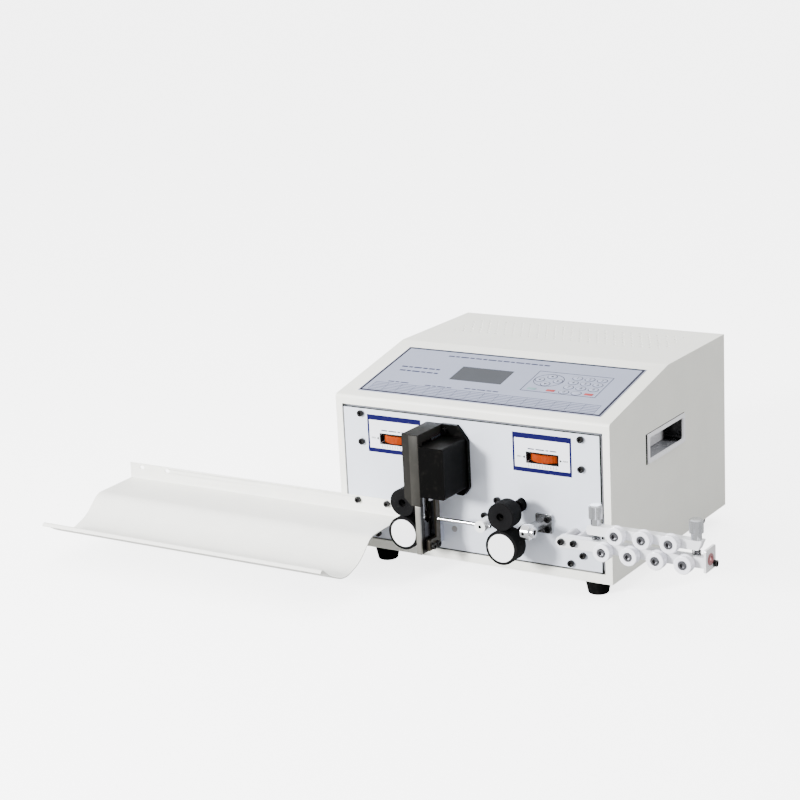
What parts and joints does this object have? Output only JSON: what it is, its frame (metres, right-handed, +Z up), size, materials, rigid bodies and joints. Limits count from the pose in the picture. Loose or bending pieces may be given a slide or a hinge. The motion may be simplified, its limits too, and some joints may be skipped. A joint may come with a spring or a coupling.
{
  "type": "wire cutting and stripping machine",
  "caption": "Bench-top wire cutting and stripping machine with a sloping control face, geared feed wheels, knife head, roller straightener and side tray.",
  "frame": {"origin": "on the bench, below the middle of the machine's box", "axes": "+X to the machine's right as seen from the front, +Y to its back, +Z up"},
  "size_m": [0.917, 0.5451, 0.263],
  "materials": {
    "cabinet_paint": "fine-textured warm white paint",
    "panel_paint": "light silver-grey sprayed plate",
    "plated_sheet": "zinc-plated sheet",
    "foot_rubber": "matte black",
    "black_screws": "black oxide",
    "bright_steel": "turned steel",
    "handle_plastic": "silver-white moulded bezel",
    "membrane": "printed polyester",
    "display": "grey-green display",
    "circuit_board": "green laminate",
    "transformer_iron": "varnished laminations",
    "motor_black": "black motor housing",
    "inlet_plastic": "black moulding",
    "rocker_plastic": "red rocker",
    "tray_paint": "smooth white paint",
    "column_steel": "dark ground steel",
    "guide_steel": "ground steel",
    "cover_plastic": "black moulding",
    "blade_steel": "polished tool steel",
    "frame_alloy": "machined alloy",
    "wheel_rubber": "black tyre",
    "cap_alloy": "brushed",
    "dial_plastic": "orange moulding",
    "hub_alloy": "turned",
    "bar_paint": "white paint",
    "roller_plastic": "white moulding",
    "thumb_chrome": "satin chrome",
    "spring_steel": "spring wire",
    "eye_ceramic": "pink-brown glazed ceramic"
  },
  "bodies": {
    "cabinet": {"cabinet_shell": "cabinet_paint", "base_chassis": "plated_sheet", "rear_panel": "cabinet_paint", "front_panel": "panel_paint", "feet": "foot_rubber", "socket_screws": "black_screws", "standoffs": "bright_steel", "side_handles": "handle_plastic", "membrane_panel": "membrane", "lcd_module": "display", "control_board": "circuit_board", "transformer": "transformer_iron", "stepper_motors": "motor_black", "power_inlet": "inlet_plastic", "wire_tray": "tray_paint", "cutter_column": "column_steel", "knife_guide": "guide_steel", "knife_cover": "cover_plastic", "feed_frames": "frame_alloy", "tube_solenoid": "motor_black", "inlet_bracket": "frame_alloy", "inlet_nozzle": "bright_steel", "straightener_rail": "bar_paint", "rail_axles": "bright_steel", "eye_plate": "hub_alloy", "ceramic_eye": "eye_ceramic", "jaw_springs": "spring_steel"},
    "power_switch": {"power_rocker": "rocker_plastic"},
    "pinion": {"knife_pinion": "bright_steel"},
    "upper_knife": {"upper_knife_slide": "column_steel", "upper_blade": "blade_steel"},
    "lower_knife": {"lower_knife_slide": "guide_steel", "lower_blade": "blade_steel"},
    "swing_guide": {"tube_hub": "hub_alloy", "guide_tube": "bright_steel"},
    "jaw": {"straightener_jaw": "bar_paint", "jaw_axles": "bright_steel"},
    "inner_screw": {"inner_thumbscrew": "thumb_chrome"},
    "outer_screw": {"outer_thumbscrew": "thumb_chrome"},
    "left_drive": {"left_drive_wheel": "wheel_rubber", "left_wheel_cap": "cap_alloy", "left_drive_shaft": "bright_steel"},
    "left_slide_block": {"left_carriage": "frame_alloy"},
    "left_press": {"left_pressure_wheel": "wheel_rubber", "left_pressure_shaft": "bright_steel"},
    "left_thumbwheel": {"left_dial": "dial_plastic"},
    "right_drive": {"right_drive_wheel": "wheel_rubber", "right_wheel_cap": "cap_alloy", "right_drive_shaft": "bright_steel"},
    "right_slide_block": {"right_carriage": "frame_alloy"},
    "right_press": {"right_pressure_wheel": "wheel_rubber", "right_pressure_shaft": "bright_steel"},
    "right_thumbwheel": {"right_dial": "dial_plastic"},
    "low_roll_1": {"lower_roller_1": "roller_plastic"},
    "low_roll_2": {"lower_roller_2": "roller_plastic"},
    "low_roll_3": {"lower_roller_3": "roller_plastic"},
    "low_roll_4": {"lower_roller_4": "roller_plastic"},
    "up_roll_1": {"upper_roller_1": "roller_plastic"},
    "up_roll_2": {"upper_roller_2": "roller_plastic"},
    "up_roll_3": {"upper_roller_3": "roller_plastic"}
  },
  "joints": [
    {"name": "rocker_tilt", "type": "hinge", "parent": "cabinet", "child": "power_switch", "pos_m": [-0.0295, 0.2677, 0.1045], "axis": [1, 0, 0], "range_deg": [0, 16]},
    {"name": "pinion_turn", "type": "hinge", "parent": "cabinet", "child": "pinion", "pos_m": [0.0615, -0.1093, 0.1745], "axis": [0, -1, 0], "range_deg": [0, 68.8]},
    {"name": "upper_knife_slide", "type": "slide", "parent": "cabinet", "child": "upper_knife", "axis": [0, 0, -1], "range_m": [0, 0.0084]},
    {"name": "lower_knife_slide", "type": "slide", "parent": "cabinet", "child": "lower_knife", "axis": [0, 0, 1], "range_m": [0, 0.0084]},
    {"name": "guide_swing", "type": "hinge", "parent": "cabinet", "child": "swing_guide", "pos_m": [0.1475, -0.1003, 0.0925], "axis": [0, 1, 0], "range_deg": [0, 20]},
    {"name": "jaw_slide", "type": "slide", "parent": "cabinet", "child": "jaw", "axis": [0, 0, -1], "range_m": [-0.002, 0.002], "deforming": ["jaw_springs"]},
    {"name": "inner_screw_turn", "type": "hinge", "parent": "jaw", "child": "inner_screw", "pos_m": [0.2995, -0.1118, 0.1165], "axis": [0, 0, -1], "range_deg": [-720.1, 720.1]},
    {"name": "outer_screw_turn", "type": "hinge", "parent": "jaw", "child": "outer_screw", "pos_m": [0.4315, -0.1118, 0.1165], "axis": [0, 0, -1], "range_deg": [-720.1, 720.1]},
    {"name": "left_drive_spin", "type": "hinge", "parent": "cabinet", "child": "left_drive", "pos_m": [0.0365, -0.0803, 0.0703], "axis": [0, 1, 0], "continuous": true},
    {"name": "left_dial_turn", "type": "hinge", "parent": "cabinet", "child": "left_thumbwheel", "pos_m": [-0.006, -0.0568, 0.1741], "axis": [0, 0, 1], "range_deg": [0, 540.1]},
    {"name": "left_press_lift", "type": "slide", "parent": "cabinet", "child": "left_slide_block", "axis": [0, 0, 1], "range_m": [0, 0.003]},
    {"name": "left_press_spin", "type": "hinge", "parent": "left_slide_block", "child": "left_press", "pos_m": [0.0365, -0.0803, 0.1107], "axis": [0, 1, 0], "continuous": true},
    {"name": "right_drive_spin", "type": "hinge", "parent": "cabinet", "child": "right_drive", "pos_m": [0.1795, -0.0803, 0.0703], "axis": [0, 1, 0], "continuous": true},
    {"name": "right_dial_turn", "type": "hinge", "parent": "cabinet", "child": "right_thumbwheel", "pos_m": [0.211, -0.0568, 0.1741], "axis": [0, 0, 1], "range_deg": [0, 540.1]},
    {"name": "right_press_lift", "type": "slide", "parent": "cabinet", "child": "right_slide_block", "axis": [0, 0, 1], "range_m": [0, 0.003]},
    {"name": "right_press_spin", "type": "hinge", "parent": "right_slide_block", "child": "right_press", "pos_m": [0.1795, -0.0803, 0.1107], "axis": [0, 1, 0], "continuous": true},
    {"name": "low_roll_1_spin", "type": "hinge", "parent": "cabinet", "child": "low_roll_1", "pos_m": [0.3145, -0.1243, 0.0813], "axis": [0, 1, 0], "continuous": true},
    {"name": "low_roll_2_spin", "type": "hinge", "parent": "cabinet", "child": "low_roll_2", "pos_m": [0.35, -0.1243, 0.0813], "axis": [0, 1, 0], "continuous": true},
    {"name": "low_roll_3_spin", "type": "hinge", "parent": "cabinet", "child": "low_roll_3", "pos_m": [0.3855, -0.1243, 0.0813], "axis": [0, 1, 0], "continuous": true},
    {"name": "low_roll_4_spin", "type": "hinge", "parent": "cabinet", "child": "low_roll_4", "pos_m": [0.421, -0.1243, 0.0813], "axis": [0, 1, 0], "continuous": true},
    {"name": "up_roll_1_spin", "type": "hinge", "parent": "jaw", "child": "up_roll_1", "pos_m": [0.33225, -0.1243, 0.1045], "axis": [0, 1, 0], "continuous": true},
    {"name": "up_roll_2_spin", "type": "hinge", "parent": "jaw", "child": "up_roll_2", "pos_m": [0.36775, -0.1243, 0.1045], "axis": [0, 1, 0], "continuous": true},
    {"name": "up_roll_3_spin", "type": "hinge", "parent": "jaw", "child": "up_roll_3", "pos_m": [0.40325, -0.1243, 0.1045], "axis": [0, 1, 0], "continuous": true}
  ],
  "couplings": [
    {"joint": "pinion_turn", "follows": "upper_knife_slide", "rad_per_m": 142.86},
    {"joint": "lower_knife_slide", "follows": "upper_knife_slide", "ratio": 1},
    {"joint": "inner_screw_turn", "follows": "jaw_slide", "rad_per_m": 6283.2},
    {"joint": "outer_screw_turn", "follows": "jaw_slide", "rad_per_m": 6283.2},
    {"joint": "left_dial_turn", "follows": "left_press_lift", "rad_per_m": 3141.6},
    {"joint": "left_press_spin", "follows": "left_drive_spin", "ratio": -1.2222},
    {"joint": "right_dial_turn", "follows": "right_press_lift", "rad_per_m": 3141.6},
    {"joint": "right_press_spin", "follows": "right_drive_spin", "ratio": -1.2222}
  ]
}
